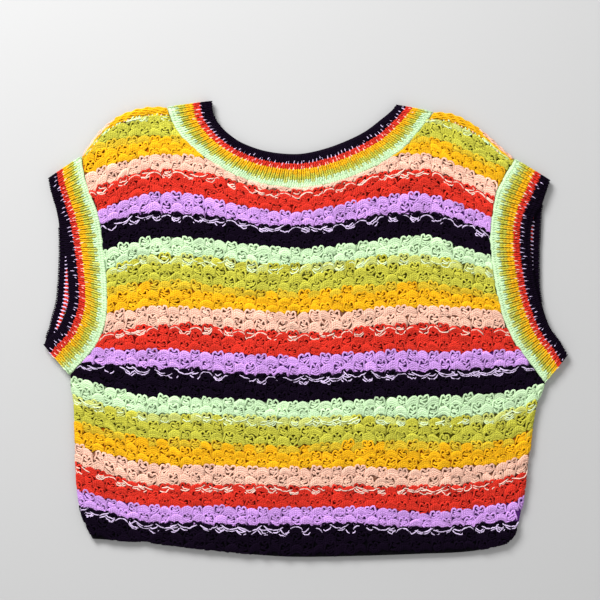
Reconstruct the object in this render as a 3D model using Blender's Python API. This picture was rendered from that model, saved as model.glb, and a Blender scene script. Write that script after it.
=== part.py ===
"""A cropped sleeveless pullover in a chunky relief knit, laid out flat on its back.

Units are metres. +X runs across the chest, +Y towards the neck and +Z up from the surface that the
garment lies on. The origin is under the middle of the garment's bounding box. Left and right are as
seen from above. The tables of outline points are in millimetres.
"""

import math
from collections import namedtuple

import bmesh
import bpy
import numpy as np

MM = 0.001

# Thicknesses and gaps
WALL = 3.5 * MM
LAYER_GAP = 0.6 * MM
SEAM_GAP = 0.5 * MM
CHORD_ALLOWANCE = 0.25 * MM
HEIGHT = 2 * WALL + LAYER_GAP
FOLD_OUTSIDE = HEIGHT / 2
FOLD_INSIDE = FOLD_OUTSIDE - WALL

# The 1 by 1 rib of the three bands
RIB_PITCH = 5.2 * MM
RIB_HEIGHT = 1.1 * MM
RIB_PROFILE = (0.0, 1.0, 1.0)
FREE_EDGE_DROP = 0.9 * MM
ACROSS_BAND = np.array([[0.0], [0.86], [1.0]])

# The back folds over each shoulder and meets the front on top, this far in from the fold
WRAP_AT_NECK = 10.0 * MM
WRAP_AT_ARMHOLE = 5.5 * MM

# The front stands a little off the back, in broad soft waves
WAVE_LIFT = 1.3 * MM
WAVE_ACROSS = 150.0 * MM
WAVE_ALONG = 210.0 * MM
WAVE_BEND = 0.4
HEM_DROP = 1.2 * MM

# How finely each stretch is divided
SHOULDER_CELLS = 4
NECK_CELLS = 20
SIDE_CELLS = 7
ARMHOLE_CELLS = 15
FOLD_CELLS = 6
ROLL_CELLS = 3
BACK_STATION = 9.0 * MM
SHOULDER_SHARE = 0.2
SHOULDER_SHARES = np.linspace(0, 1, SHOULDER_CELLS + 1)[:, None]
SHARP_ANGLE = math.radians(50)

# The depth of each band: from the seam to the free edges of its front and back halves
Section = namedtuple("Section", "seam_x seam_y front_x front_y back_x back_y")

LEFT_ARMBAND = [
    Section(-233, 180, -267, 157, -267, 157),
    Section(-231, 164, -264, 143, -265, 143),
    Section(-225, 143, -259, 127, -260, 127),
    Section(-218, 127, -255, 110, -257, 110),
    Section(-213, 108, -251, 90, -256, 90),
    Section(-210, 82, -248, 69, -256, 70),
    Section(-207, 56, -246, 48, -257, 48),
    Section(-206, 30, -246, 30, -259, 28),
    Section(-207, 12, -250, 15, -263, 14),
    Section(-212, -6, -256, 2, -266, 2),
    Section(-222, -23, -264, -7, -269, -6),
    Section(-245, -48, -272, -16, -272, -16),
]

RIGHT_ARMBAND = [
    Section(218, 177, 254, 155, 254, 155),
    Section(207, 160, 250, 144, 251, 144),
    Section(199, 144, 245, 131, 247, 131),
    Section(195, 126, 238, 119, 245, 120),
    Section(192, 105, 234, 103, 244, 103),
    Section(192, 82, 234, 82, 243, 82),
    Section(195, 60, 236, 62, 243, 62),
    Section(199, 38, 240, 40, 244, 40),
    Section(205, 14, 246, 20, 248, 20),
    Section(215, -10, 254, 1, 255, 1),
    Section(231, -32, 265, -14, 266, -14),
    Section(249, -56, 272, -27, 272, -27),
]

NECKBAND = [
    Section(-144, 231, -98, 237, -98, 237),
    Section(-136, 210, -96, 223, -96, 224),
    Section(-122, 193, -87, 209, -88, 211),
    Section(-102, 177, -73, 197, -74, 199),
    Section(-79, 163, -60, 190, -61, 192),
    Section(-53, 153, -43, 184, -43, 186),
    Section(-27, 148, -23, 181, -23, 183),
    Section(-2, 147, -3, 181, -3, 183),
    Section(28, 152, 20, 186, 20, 188),
    Section(57, 162, 42, 194, 42, 196),
    Section(83, 175, 62, 204, 62, 206),
    Section(102, 188, 78, 216, 78, 218),
    Section(119, 207, 89, 226, 89, 227),
    Section(133, 226, 95, 233, 95, 233),
]

# The outline between the bands: up each side from the hem, along the hem from the left, and along
# each shoulder's fold from its armhole to the neck
Point = namedtuple("Point", "x y")

LEFT_SIDE = [Point(-222, -218), Point(-231, -198), Point(-236, -176), Point(-239, -142),
             Point(-240, -105), Point(-241, -76), Point(-246, -54)]
RIGHT_SIDE = [Point(212, -222), Point(220, -208), Point(226, -181), Point(232, -139),
              Point(237, -96), Point(244, -70), Point(249, -58)]
HEM = [Point(-222, -218), Point(-191, -220), Point(-159, -222), Point(-99, -230), Point(-47, -235),
       Point(-6, -237), Point(54, -236), Point(114, -234), Point(173, -231), Point(212, -222)]
LEFT_SHOULDER = [Point(-233, 180), Point(-225, 191), Point(-213, 207), Point(-197, 220),
                 Point(-178, 228), Point(-162, 231), Point(-144, 231)]
RIGHT_SHOULDER = [Point(218, 177), Point(208, 185), Point(187, 204), Point(168, 217),
                  Point(152, 224), Point(133, 226)]

# Base colour of each piece: the yarn that it shows most
COLOURS = {
    "front_panel": (0.80, 0.40, 0.06),
    "back_panel": (0.80, 0.40, 0.06),
    "neckband": (0.55, 0.72, 0.45),
    "armband_left": (0.55, 0.72, 0.45),
    "armband_right": (0.55, 0.72, 0.45),
}
WOOL_ROUGHNESS = 0.9


# Plan curves


def unit(vectors):
    return vectors / np.linalg.norm(vectors, axis=-1, keepdims=True)


class Curve:
    """A smooth curve in plan through a few points, read by the distance along it."""

    STEPS = 24

    def __init__(self, knots, aside=0.0):
        """aside moves the whole curve this far to its left."""
        knots = np.asarray(knots, float)
        ends = np.vstack([2 * knots[0] - knots[1], knots, 2 * knots[-1] - knots[-2]])
        t = np.linspace(0, 1, self.STEPS, endpoint=False)[:, None]
        spans = []
        for a, b, c, d in zip(ends, ends[1:], ends[2:], ends[3:]):
            spans.append(
                b
                + 0.5 * t * (c - a)
                + t**2 * (a - 2.5 * b + 2 * c - 0.5 * d)
                + t**3 * (1.5 * (b - c) + 0.5 * (d - a))
            )
        points = np.vstack(spans + [knots[-1:]])
        way = unit(np.gradient(points, axis=0))
        self.points = points + aside * np.column_stack([-way[:, 1], way[:, 0]])
        steps = np.linalg.norm(np.diff(self.points, axis=0), axis=1)
        self.along = np.concatenate([[0.0], np.cumsum(steps)])
        self.length = self.along[-1]

    def at(self, distance):
        """Points at these distances from the curve's start."""
        return np.stack(
            [np.interp(distance, self.along, self.points[:, axis]) for axis in (0, 1)], axis=-1
        )

    def between(self, start, end, cells):
        """Evenly spaced points from one distance to another."""
        return self.at(np.linspace(start, end, cells + 1))


def in_metres(rows, x="x", y="y"):
    return np.array([(getattr(row, x), getattr(row, y)) for row in rows], float) * MM


def seam_curve(sections, side, aside):
    """A band's seam, moved aside towards the band (side 1) or towards the panel (side -1)."""
    seam = in_metres(sections, "seam_x", "seam_y")
    depth = in_metres(sections, "front_x", "front_y") - seam
    way = seam[-1] - seam[0]
    band_is_left = way[0] * depth[1, 1] - way[1] * depth[1, 0] > 0
    return Curve(seam, side * aside if band_is_left else -side * aside)


def with_height(plan, height):
    """Plan points given a height each."""
    height = np.broadcast_to(height, plan.shape[:-1])
    return np.concatenate([plan, height[..., None]], axis=-1)


# Solids


def wool_material(name):
    material = bpy.data.materials.new(name)
    material.use_nodes = True
    shader = material.node_tree.nodes["Principled BSDF"]
    shader.inputs["Base Color"].default_value = (*COLOURS[name], 1.0)
    shader.inputs["Roughness"].default_value = WOOL_ROUGHNESS
    shader.inputs["Metallic"].default_value = 0.0
    return material


def wall_object(name, collection, outside, inside, keep=None, ring=False):
    """The closed wall between two grids of points: its outside, its inside and a rim round them."""
    rows, columns = outside.shape[:2]
    mesh = bmesh.new()
    grids = []
    for grid in (outside, inside):
        grids.append([[mesh.verts.new(point) for point in row] for row in grid])
    for row in range(rows if ring else rows - 1):
        for column in range(columns - 1):
            if keep is not None and not keep[row, column]:
                continue
            for grid in grids:
                lower = grid[row]
                upper = grid[(row + 1) % rows]
                mesh.faces.new((lower[column], lower[column + 1], upper[column + 1], upper[column]))
    partner = dict(zip(sum(grids[0], []), sum(grids[1], [])))
    rim = [edge for edge in mesh.edges if edge.is_boundary and edge.verts[0] in partner]
    for edge in rim:
        first, second = edge.verts
        mesh.faces.new((first, second, partner[second], partner[first]))
    loose = [vertex for vertex in mesh.verts if not vertex.link_faces]
    bmesh.ops.delete(mesh, geom=loose, context="VERTS")
    bmesh.ops.recalc_face_normals(mesh, faces=mesh.faces)
    data = bpy.data.meshes.new(name)
    mesh.to_mesh(data)
    mesh.free()
    data.materials.append(wool_material(name))
    data.shade_smooth()
    data.set_sharp_from_angle(angle=SHARP_ANGLE)
    piece = bpy.data.objects.new(name, data)
    collection.objects.link(piece)
    return piece


# How a wall turns round a fold, from the lower level (BOTTOM) to the upper one (TOP)
WallStep = namedtuple("WallStep", "out_inset out_height in_inset in_height")
TOP = math.pi / 2
BOTTOM = -math.pi / 2


def wall_step(turn):
    """How far in from the fold line, and how high, a wall's outside and inside lie at this turn."""
    return WallStep(
        FOLD_OUTSIDE * (1 - math.cos(turn)),
        FOLD_OUTSIDE * (1 + math.sin(turn)),
        FOLD_OUTSIDE - FOLD_INSIDE * math.cos(turn),
        FOLD_OUTSIDE + FOLD_INSIDE * math.sin(turn),
    )


# Panels


def shoulder_fold(shoulder, arm_seam, neck_seam):
    """A shoulder's fold line from the armhole to the neck, and the way in from it to the panel."""
    line = Curve(shoulder)
    fold = line.between(0, line.length, SHOULDER_CELLS)
    fold[0] = arm_seam.at(0)
    fold[-1] = neck_seam.at(0)
    arm_way = unit(arm_seam.at(WRAP_AT_ARMHOLE) - arm_seam.at(0))
    neck_way = unit(neck_seam.at(WRAP_AT_NECK) - neck_seam.at(0))
    return fold, unit((1 - SHOULDER_SHARES) * arm_way + SHOULDER_SHARES * neck_way)


def panel_outline():
    """The curves that both panels share. Seams are read from the shoulder fold on."""
    aside = SEAM_GAP / 2 + CHORD_ALLOWANCE
    outline = {
        "left_arm": seam_curve(LEFT_ARMBAND, -1, aside),
        "right_arm": seam_curve(RIGHT_ARMBAND, -1, aside),
        "neck": seam_curve(NECKBAND, -1, aside),
        "left_side": Curve(in_metres(LEFT_SIDE)),
        "right_side": Curve(in_metres(RIGHT_SIDE)),
        "hem": Curve(in_metres(HEM)),
    }
    outline["left_shoulder"] = shoulder_fold(
        in_metres(LEFT_SHOULDER), outline["left_arm"], outline["neck"]
    )
    outline["right_shoulder"] = shoulder_fold(
        in_metres(RIGHT_SHOULDER), outline["right_arm"], seam_curve(NECKBAND[::-1], -1, aside)
    )
    return outline


def wrap_distance(extra=0.0):
    """How far in from the shoulder fold the shoulder seam lies, from the armhole to the neck."""
    return (1 - SHOULDER_SHARES) * WRAP_AT_ARMHOLE + SHOULDER_SHARES * WRAP_AT_NECK + extra


def coons_patch(left, right, bottom, top, across, up):
    """A grid in plan between four edge curves."""
    u = across[None, :, None]
    v = up[:, None, None]
    sides = (1 - u) * left[:, None] + u * right[:, None]
    ends = (1 - v) * bottom[None] + v * top[None]
    lower_corners = (1 - u) * bottom[0] + u * bottom[-1]
    upper_corners = (1 - u) * top[0] + u * top[-1]
    return sides + ends - (1 - v) * lower_corners - v * upper_corners


def panel_plan(outline, inset):
    """A panel's plan grid, from its hem up to this far in from the shoulder folds and the neck."""
    shoulders = []
    for side in ("left_shoulder", "right_shoulder"):
        fold, way_in = outline[side]
        shoulders.append(fold + way_in * inset)
    at_armhole, at_neck = inset[0, 0], inset[-1, 0]
    neck = outline["neck"].between(at_neck, outline["neck"].length - at_neck, NECK_CELLS)
    top = np.vstack([shoulders[0][:-1], neck, shoulders[1][::-1][1:]])
    sides = []
    for side in ("left", "right"):
        seam = outline[side + "_side"]
        armhole = outline[side + "_arm"]
        lower = seam.between(0, seam.length, SIDE_CELLS)
        upper = armhole.between(armhole.length, at_armhole, ARMHOLE_CELLS)
        sides.append(np.vstack([lower[:-1], upper]))
    across = np.concatenate([
        np.linspace(0, SHOULDER_SHARE, SHOULDER_CELLS, endpoint=False),
        np.linspace(SHOULDER_SHARE, 1 - SHOULDER_SHARE, NECK_CELLS, endpoint=False),
        np.linspace(1 - SHOULDER_SHARE, 1, SHOULDER_CELLS + 1),
    ])
    hem = outline["hem"].at(across * outline["hem"].length)
    heights = (sides[0][:, 1] + sides[1][:, 1]) / 2
    up = (heights - heights[0]) / (heights[-1] - heights[0])
    return coons_patch(sides[0], sides[1], hem, top, across, up), across, up


def side_edge(edge, beside, level, sewn):
    """The columns at a panel's side edge, where it rolls to meet the other panel if it is sewn.

    level is TOP for the front, which rolls down, and BOTTOM for the back, which rolls up. They meet
    half-way up. At the armhole the same columns stay flat.
    """
    way_in = unit(beside - edge)
    flat = wall_step(level)
    side = math.copysign(1, level)
    outside = []
    inside = []
    for turn in np.linspace(0, level, ROLL_CELLS + 1):
        step = wall_step(turn)
        if not sewn:
            step = step._replace(
                out_height=flat.out_height, in_height=flat.in_height, in_inset=step.out_inset
            )
        for points, inset, height in (
            (outside, step.out_inset, step.out_height),
            (inside, step.in_inset, step.in_height),
        ):
            off_middle = max(side * (height - FOLD_OUTSIDE), SEAM_GAP / 2)
            points.append((*(edge + way_in * inset), FOLD_OUTSIDE + side * off_middle))
    return np.array(outside), np.array(inside)


def panel_walls(plan, level, lift):
    """The outside and inside points of a panel at its level, raised by lift, with its side edges."""
    flat = wall_step(level)
    outside = []
    inside = []
    for number, row in enumerate(plan):
        sewn = number <= SIDE_CELLS
        left = side_edge(row[0], row[1], level, sewn)
        right = side_edge(row[-1], row[-2], level, sewn)
        rise = lift[number, 1:-1]
        middle = row[1:-1]
        outside.append(np.vstack([left[0], with_height(middle, flat.out_height + rise), right[0][::-1]]))
        inside.append(np.vstack([left[1], with_height(middle, flat.in_height + rise), right[1][::-1]]))
    return np.array(outside), np.array(inside)


def front_panel(collection, outline):
    plan, across, up = panel_plan(outline, wrap_distance(SEAM_GAP))
    bend = WAVE_BEND * np.sin(2 * math.pi * plan[..., 1] / WAVE_ALONG)
    waves = 0.5 + 0.5 * np.sin(2 * math.pi * (plan[..., 0] / WAVE_ACROSS + bend))
    fade = np.sqrt(np.outer(np.sin(math.pi * up), np.sin(math.pi * across)).clip(0))
    outside, inside = panel_walls(plan, TOP, WAVE_LIFT * fade * waves)
    rolled = ROLL_CELLS + 1
    outside[0, rolled:-rolled, 2] -= HEM_DROP
    return wall_object("front_panel", collection, outside, inside)


def strap_row(strap, inset, height):
    """A row of points across a shoulder strap, with the extra columns of the side edge."""
    fold, way_in = strap
    row = fold + way_in * inset
    way_along = unit(row[1] - row[0])
    turns = np.linspace(0, TOP, ROLL_CELLS + 1)
    edge = [row[0] + way_along * wall_step(turn).out_inset for turn in turns]
    return with_height(np.vstack([edge, row[1:]]), height)


def back_panel(collection, outline):
    """The back lies on the surface, and at the shoulders it folds up and over on to the top."""
    plan = panel_plan(outline, FOLD_OUTSIDE + 0 * SHOULDER_SHARES)[0]
    outside, inside = panel_walls(plan, BOTTOM, np.zeros(plan.shape[:2]))
    steps = [wall_step(turn) for turn in np.linspace(BOTTOM, TOP, FOLD_CELLS + 1)[1:]]
    steps.append(wall_step(TOP)._replace(out_inset=wrap_distance(), in_inset=wrap_distance()))
    strap_columns = SHOULDER_CELLS + ROLL_CELLS + 1
    outside = list(outside)
    inside = list(inside)
    for step in steps:
        for rows, inset, height in (
            (outside, step.out_inset, step.out_height),
            (inside, step.in_inset, step.in_height),
        ):
            row = rows[-1].copy()
            row[:strap_columns] = strap_row(outline["left_shoulder"], inset, height)
            row[-strap_columns:] = strap_row(outline["right_shoulder"], inset, height)[::-1]
            rows.append(row)
    outside = np.array(outside)
    inside = np.array(inside)
    keep = np.ones((outside.shape[0] - 1, outside.shape[1] - 1), bool)
    keep[len(plan) - 1:, strap_columns - 1:-(strap_columns - 1)] = False
    return wall_object("back_panel", collection, outside, inside, keep)


# Bands


def across_band(seam, free, share, inset):
    """Points across a band at this share of its length, which is measured this far in from its ends."""
    ends = [rail.at(inset + share * (rail.length - 2 * inset)) for rail in (seam, free)]
    return (1 - ACROSS_BAND) * ends[0] + ACROSS_BAND * ends[1]


def band(name, collection, sections):
    """A ribbed ring pressed flat: a front half with ribs, a plain back half and a fold at each end."""
    seam = seam_curve(sections, 1, SEAM_GAP / 2)
    front = Curve(in_metres(sections, "front_x", "front_y"))
    back = Curve(in_metres(sections, "back_x", "back_y"))
    outside = []
    inside = []

    def add(free, share, turn, relief=0.0):
        step = wall_step(turn)
        outer = across_band(seam, free, share, step.out_inset)
        inner = across_band(seam, free, share, step.in_inset)
        outside.append(with_height(outer, step.out_height + relief))
        inside.append(with_height(inner, step.in_height))

    ribs = round((seam.length - 2 * FOLD_OUTSIDE) / RIB_PITCH)
    rib_points = len(RIB_PROFILE) * ribs
    for point in range(rib_points + 1):
        crest = RIB_HEIGHT * RIB_PROFILE[point % len(RIB_PROFILE)]
        add(front, point / rib_points, TOP, np.array([crest, crest, -FREE_EDGE_DROP]))
    turns = np.linspace(TOP, BOTTOM, FOLD_CELLS + 1)[1:-1]
    for turn in turns:
        add(front if turn > 0 else back, 1.0, turn)
    stations = math.ceil(seam.length / BACK_STATION)
    for station in range(stations, -1, -1):
        add(back, station / stations, BOTTOM)
    for turn in turns[::-1]:
        add(front if turn > 0 else back, 0.0, turn)
    return wall_object(name, collection, np.array(outside), np.array(inside), ring=True)


def main():
    for old in list(bpy.data.objects):
        bpy.data.objects.remove(old, do_unlink=True)
    collection = bpy.data.collections.new("sweater_vest")
    bpy.context.scene.collection.children.link(collection)
    outline = panel_outline()
    front_panel(collection, outline)
    back_panel(collection, outline)
    band("neckband", collection, NECKBAND)
    band("armband_left", collection, LEFT_ARMBAND)
    band("armband_right", collection, RIGHT_ARMBAND)


main()
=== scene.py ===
"""The looks of a cropped sleeveless pullover, laid flat: knitted grounds, wool yarn and ribbed bands.

Units are metres in the frame of the solids. +X runs across the chest, +Y towards the neck and +Z up.
Tables are in millimetres. Left and right are as seen from above.
"""

import math
from collections import namedtuple

import bmesh
import bpy
import numpy as np
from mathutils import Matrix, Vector
from mathutils.bvhtree import BVHTree


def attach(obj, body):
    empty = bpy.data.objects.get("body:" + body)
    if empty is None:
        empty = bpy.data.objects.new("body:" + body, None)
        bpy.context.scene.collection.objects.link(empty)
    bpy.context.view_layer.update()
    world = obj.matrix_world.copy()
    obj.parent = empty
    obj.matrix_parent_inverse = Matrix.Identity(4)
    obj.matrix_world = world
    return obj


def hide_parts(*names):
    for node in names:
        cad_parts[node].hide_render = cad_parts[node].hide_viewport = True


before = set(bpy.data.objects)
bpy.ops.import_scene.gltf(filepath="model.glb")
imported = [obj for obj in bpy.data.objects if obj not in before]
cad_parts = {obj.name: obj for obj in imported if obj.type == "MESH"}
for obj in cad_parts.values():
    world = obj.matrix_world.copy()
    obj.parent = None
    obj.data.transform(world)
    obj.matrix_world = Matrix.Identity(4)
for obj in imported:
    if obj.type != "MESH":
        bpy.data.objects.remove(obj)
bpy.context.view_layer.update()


# Front panel, the ground of the knit: one wall of chunky wool, striped across in seven colours and
# shaped at the armholes, neck and shoulders. The puffed stitches of the next section stand on it.
# It lies a little off the back, in broad soft waves, and rolls down at the side seams.

MM = 0.001
Section = namedtuple("Section", "seam_x seam_y front_x front_y back_x back_y")

LEFT_ARMBAND = [
    Section(-233, 180, -267, 157, -267, 157),
    Section(-231, 164, -264, 143, -265, 143),
    Section(-225, 143, -259, 127, -260, 127),
    Section(-218, 127, -255, 110, -257, 110),
    Section(-213, 108, -251, 90, -256, 90),
    Section(-210, 82, -248, 69, -256, 70),
    Section(-207, 56, -246, 48, -257, 48),
    Section(-206, 30, -246, 30, -259, 28),
    Section(-207, 12, -250, 15, -263, 14),
    Section(-212, -6, -256, 2, -266, 2),
    Section(-222, -23, -264, -7, -269, -6),
    Section(-245, -48, -272, -16, -272, -16),
]
RIGHT_ARMBAND = [
    Section(218, 177, 254, 155, 254, 155),
    Section(207, 160, 250, 144, 251, 144),
    Section(199, 144, 245, 131, 247, 131),
    Section(195, 126, 238, 119, 245, 120),
    Section(192, 105, 234, 103, 244, 103),
    Section(192, 82, 234, 82, 243, 82),
    Section(195, 60, 236, 62, 243, 62),
    Section(199, 38, 240, 40, 244, 40),
    Section(205, 14, 246, 20, 248, 20),
    Section(215, -10, 254, 1, 255, 1),
    Section(231, -32, 265, -14, 266, -14),
    Section(249, -56, 272, -27, 272, -27),
]
NECKBAND = [
    Section(-144, 231, -98, 237, -98, 237),
    Section(-136, 210, -96, 223, -96, 224),
    Section(-122, 193, -87, 209, -88, 211),
    Section(-102, 177, -73, 197, -74, 199),
    Section(-79, 163, -60, 190, -61, 192),
    Section(-53, 153, -43, 184, -43, 186),
    Section(-27, 148, -23, 181, -23, 183),
    Section(-2, 147, -3, 181, -3, 183),
    Section(28, 152, 20, 186, 20, 188),
    Section(57, 162, 42, 194, 42, 196),
    Section(83, 175, 62, 204, 62, 206),
    Section(102, 188, 78, 216, 78, 218),
    Section(119, 207, 89, 226, 89, 227),
    Section(133, 226, 95, 233, 95, 233),
]

Point = namedtuple("Point", "x y")
LEFT_SIDE = [Point(-222, -218), Point(-231, -198), Point(-236, -176), Point(-239, -142),
             Point(-240, -105), Point(-241, -76), Point(-246, -54)]
RIGHT_SIDE = [Point(212, -222), Point(220, -208), Point(226, -181), Point(232, -139),
              Point(237, -96), Point(244, -70), Point(249, -58)]
HEM = [Point(-222, -218), Point(-191, -220), Point(-159, -222), Point(-99, -230), Point(-47, -235),
       Point(-6, -237), Point(54, -236), Point(114, -234), Point(173, -231), Point(212, -222)]
LEFT_SHOULDER = [Point(-233, 180), Point(-225, 191), Point(-213, 207), Point(-197, 220),
                 Point(-178, 228), Point(-162, 231), Point(-144, 231)]
RIGHT_SHOULDER = [Point(218, 177), Point(208, 185), Point(187, 204), Point(168, 217),
                  Point(152, 224), Point(133, 226)]

WALL = 3.5 * MM
LAYER_GAP = 0.6 * MM
SEAM_GAP = 0.5 * MM
FOLD_OUTSIDE = (2 * WALL + LAYER_GAP) / 2
FOLD_INSIDE = FOLD_OUTSIDE - WALL
WRAP_AT_NECK = 10.0 * MM
WRAP_AT_ARMHOLE = 5.5 * MM
WAVE_LIFT = 1.3 * MM
WAVE_ACROSS = 150.0 * MM
WAVE_ALONG = 210.0 * MM
WAVE_BEND = 0.4
HEM_DROP = 1.2 * MM
# The part of the side over which the hem rolls down is one in this many
HEM_PARTS = 6
GROUND_SINK = 0.7 * MM

SHOULDER_CELLS = 16
NECK_CELLS = 58
SIDE_CELLS = 34
ARMHOLE_CELLS = 50
ROLL_CELLS = 4
SHOULDER_SHARE = 0.2
SHOULDER_SHARES = np.linspace(0, 1, SHOULDER_CELLS + 1)[:, None]
TOP = math.pi / 2
BOTTOM = -math.pi / 2
WallStep = namedtuple("WallStep", "out_inset out_height in_inset in_height")


def unit(vectors):
    return vectors / np.linalg.norm(vectors, axis=-1, keepdims=True).clip(1e-9)


class Curve:
    """A smooth curve in plan through a few points, read by the distance along it."""

    STEPS = 24

    def __init__(self, knots, aside=0.0):
        knots = np.asarray(knots, float)
        ends = np.vstack([2 * knots[0] - knots[1], knots, 2 * knots[-1] - knots[-2]])
        t = np.linspace(0, 1, self.STEPS, endpoint=False)[:, None]
        spans = []
        for a, b, c, d in zip(ends, ends[1:], ends[2:], ends[3:]):
            spans.append(
                b
                + 0.5 * t * (c - a)
                + t**2 * (a - 2.5 * b + 2 * c - 0.5 * d)
                + t**3 * (1.5 * (b - c) + 0.5 * (d - a))
            )
        points = np.vstack(spans + [knots[-1:]])
        way = unit(np.gradient(points, axis=0))
        self.points = points + aside * np.column_stack([-way[:, 1], way[:, 0]])
        steps = np.linalg.norm(np.diff(self.points, axis=0), axis=1)
        self.along = np.concatenate([[0.0], np.cumsum(steps)])
        self.length = self.along[-1]

    def at(self, distance):
        return np.stack(
            [np.interp(distance, self.along, self.points[:, axis]) for axis in (0, 1)], axis=-1
        )

    def between(self, start, end, cells):
        return self.at(np.linspace(start, end, cells + 1))


def in_metres(rows, x="x", y="y"):
    return np.array([(getattr(row, x), getattr(row, y)) for row in rows], float) * MM


def seam_curve(sections, side, aside):
    """A band's seam, moved aside towards the band (side 1) or towards the panel (side -1)."""
    seam = in_metres(sections, "seam_x", "seam_y")
    depth = in_metres(sections, "front_x", "front_y") - seam
    way = seam[-1] - seam[0]
    band_is_left = way[0] * depth[1, 1] - way[1] * depth[1, 0] > 0
    return Curve(seam, side * aside if band_is_left else -side * aside)


def with_height(plan, height):
    height = np.broadcast_to(height, plan.shape[:-1])
    return np.concatenate([plan, height[..., None]], axis=-1)


def wall_step(turn):
    """How far in from the fold line, and how high, a wall's outside and inside lie at this turn."""
    return WallStep(
        FOLD_OUTSIDE * (1 - math.cos(turn)),
        FOLD_OUTSIDE * (1 + math.sin(turn)),
        FOLD_OUTSIDE - FOLD_INSIDE * math.cos(turn),
        FOLD_OUTSIDE + FOLD_INSIDE * math.sin(turn),
    )


def shoulder_fold(shoulder, arm_seam, neck_seam):
    """A shoulder's fold line from the armhole to the neck, and the way in from it to the panel."""
    line = Curve(shoulder)
    fold = line.between(0, line.length, SHOULDER_CELLS)
    fold[0] = arm_seam.at(0)
    fold[-1] = neck_seam.at(0)
    arm_way = unit(arm_seam.at(WRAP_AT_ARMHOLE) - arm_seam.at(0))
    neck_way = unit(neck_seam.at(WRAP_AT_NECK) - neck_seam.at(0))
    return fold, unit((1 - SHOULDER_SHARES) * arm_way + SHOULDER_SHARES * neck_way)


outline = {
    "left_arm": seam_curve(LEFT_ARMBAND, -1, SEAM_GAP),
    "right_arm": seam_curve(RIGHT_ARMBAND, -1, SEAM_GAP),
    "neck": seam_curve(NECKBAND, -1, SEAM_GAP),
    "left_side": Curve(in_metres(LEFT_SIDE)),
    "right_side": Curve(in_metres(RIGHT_SIDE)),
    "hem": Curve(in_metres(HEM)),
}
outline["left_shoulder"] = shoulder_fold(
    in_metres(LEFT_SHOULDER), outline["left_arm"], outline["neck"]
)
outline["right_shoulder"] = shoulder_fold(
    in_metres(RIGHT_SHOULDER), outline["right_arm"], seam_curve(NECKBAND[::-1], -1, SEAM_GAP)
)


def wrap_distance(extra=0.0):
    """How far in from the shoulder fold the shoulder seam lies, from the armhole to the neck."""
    return (1 - SHOULDER_SHARES) * WRAP_AT_ARMHOLE + SHOULDER_SHARES * WRAP_AT_NECK + extra


def panel_plan(inset):
    """A panel's plan grid, from its hem up to this far in from the shoulder folds and the neck."""
    shoulders = []
    for side in ("left_shoulder", "right_shoulder"):
        fold, way_in = outline[side]
        shoulders.append(fold + way_in * inset)
    at_armhole, at_neck = inset[0, 0], inset[-1, 0]
    neck = outline["neck"].between(at_neck, outline["neck"].length - at_neck, NECK_CELLS)
    top = np.vstack([shoulders[0][:-1], neck, shoulders[1][::-1][1:]])
    sides = []
    for side in ("left", "right"):
        seam = outline[side + "_side"]
        armhole = outline[side + "_arm"]
        lower = seam.between(0, seam.length, SIDE_CELLS)
        upper = armhole.between(armhole.length, at_armhole, ARMHOLE_CELLS)
        sides.append(np.vstack([lower[:-1], upper]))
    across = np.concatenate([
        np.linspace(0, SHOULDER_SHARE, SHOULDER_CELLS, endpoint=False),
        np.linspace(SHOULDER_SHARE, 1 - SHOULDER_SHARE, NECK_CELLS, endpoint=False),
        np.linspace(1 - SHOULDER_SHARE, 1, SHOULDER_CELLS + 1),
    ])
    hem = outline["hem"].at(across * outline["hem"].length)
    heights = (sides[0][:, 1] + sides[1][:, 1]) / 2
    up = (heights - heights[0]) / (heights[-1] - heights[0])
    u = across[None, :, None]
    v = up[:, None, None]
    lower_corners = (1 - u) * hem[0] + u * hem[-1]
    upper_corners = (1 - u) * top[0] + u * top[-1]
    plan = (
        (1 - u) * sides[0][:, None] + u * sides[1][:, None]
        + (1 - v) * (hem[None] - lower_corners)
        + v * (top[None] - upper_corners)
    )
    return plan, across, up


def side_edge(edge, beside, level, sewn):
    """The columns at a panel's side edge, where it rolls to meet the other panel if it is sewn."""
    way_in = unit(beside - edge)
    flat = wall_step(level)
    side = math.copysign(1, level)
    outside = []
    inside = []
    for turn in np.linspace(0, level, ROLL_CELLS + 1):
        step = wall_step(turn)
        if not sewn:
            step = step._replace(
                out_height=flat.out_height, in_height=flat.in_height, in_inset=step.out_inset
            )
        for points, inset, height in (
            (outside, step.out_inset, step.out_height),
            (inside, step.in_inset, step.in_height),
        ):
            off_middle = max(side * (height - FOLD_OUTSIDE), SEAM_GAP / 2)
            points.append((*(edge + way_in * inset), FOLD_OUTSIDE + side * off_middle))
    return np.array(outside), np.array(inside)


def panel_walls(plan, level, lift):
    """The outside and inside points of a panel at its level, raised by lift, with its side edges."""
    flat = wall_step(level)
    outside = []
    inside = []
    for number, row in enumerate(plan):
        sewn = number <= SIDE_CELLS
        left = side_edge(row[0], row[1], level, sewn)
        right = side_edge(row[-1], row[-2], level, sewn)
        rise = lift[number, 1:-1]
        middle = row[1:-1]
        outside.append(np.vstack([left[0], with_height(middle, flat.out_height + rise), right[0][::-1]]))
        inside.append(np.vstack([left[1], with_height(middle, flat.in_height + rise), right[1][::-1]]))
    return np.array(outside), np.array(inside)


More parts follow.
